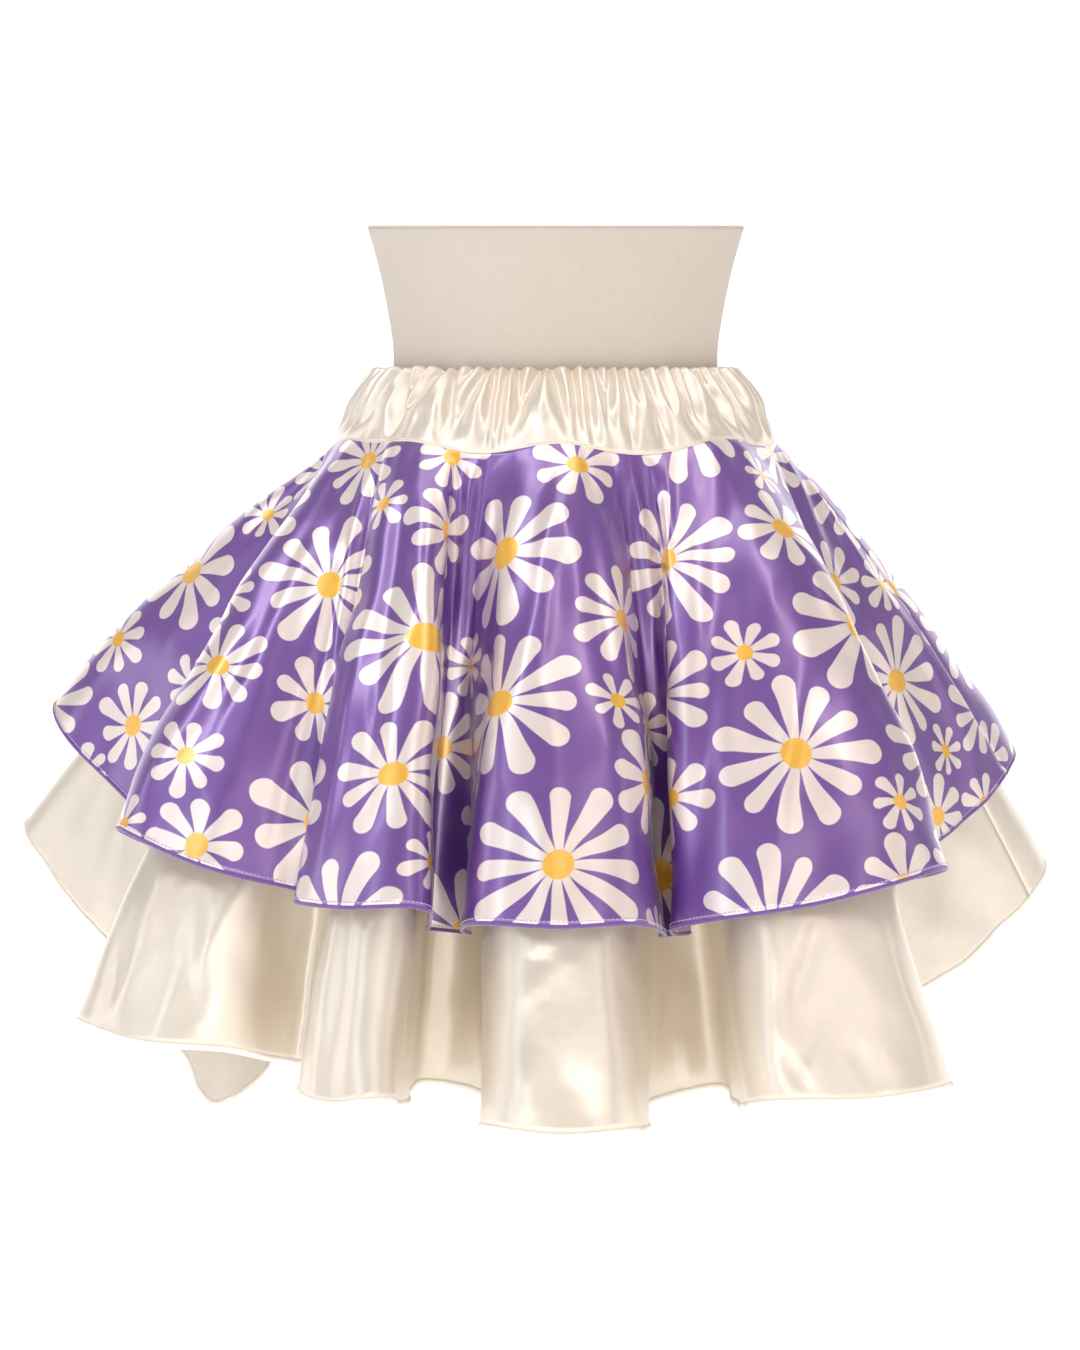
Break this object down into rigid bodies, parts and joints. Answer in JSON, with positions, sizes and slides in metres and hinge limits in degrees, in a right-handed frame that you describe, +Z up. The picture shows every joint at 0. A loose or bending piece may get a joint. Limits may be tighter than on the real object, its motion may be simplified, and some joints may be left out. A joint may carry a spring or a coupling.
{
  "type": "tiered ruffle skirt on a dress form",
  "caption": "Two-tier flared satin skirt with an elastic waistband and daisy print, worn by a limbless dress form on a low stand.",
  "frame": {"origin": "middle of the whole part's footprint, on the floor that the stand rests on", "axes": "+Z up, the front of the skirt towards -Y, +X towards the right of someone who faces its front"},
  "size_m": [0.852, 0.7084, 0.6177],
  "materials": {
    "form_linen": "matt off-white woven cover",
    "stand_paint": "satin off-white paint",
    "ivory_satin": "ivory satin, glossy along its folds",
    "printed_satin": "purple satin printed with ivory daisies"
  },
  "bodies": {
    "root": {"dress_form": "form_linen", "form_stand": "stand_paint", "waistband": "ivory_satin", "upper_tier_front": "printed_satin", "upper_tier_back": "printed_satin", "lower_tier_front": "ivory_satin", "lower_tier_back": "ivory_satin"}
  },
  "joints": []
}
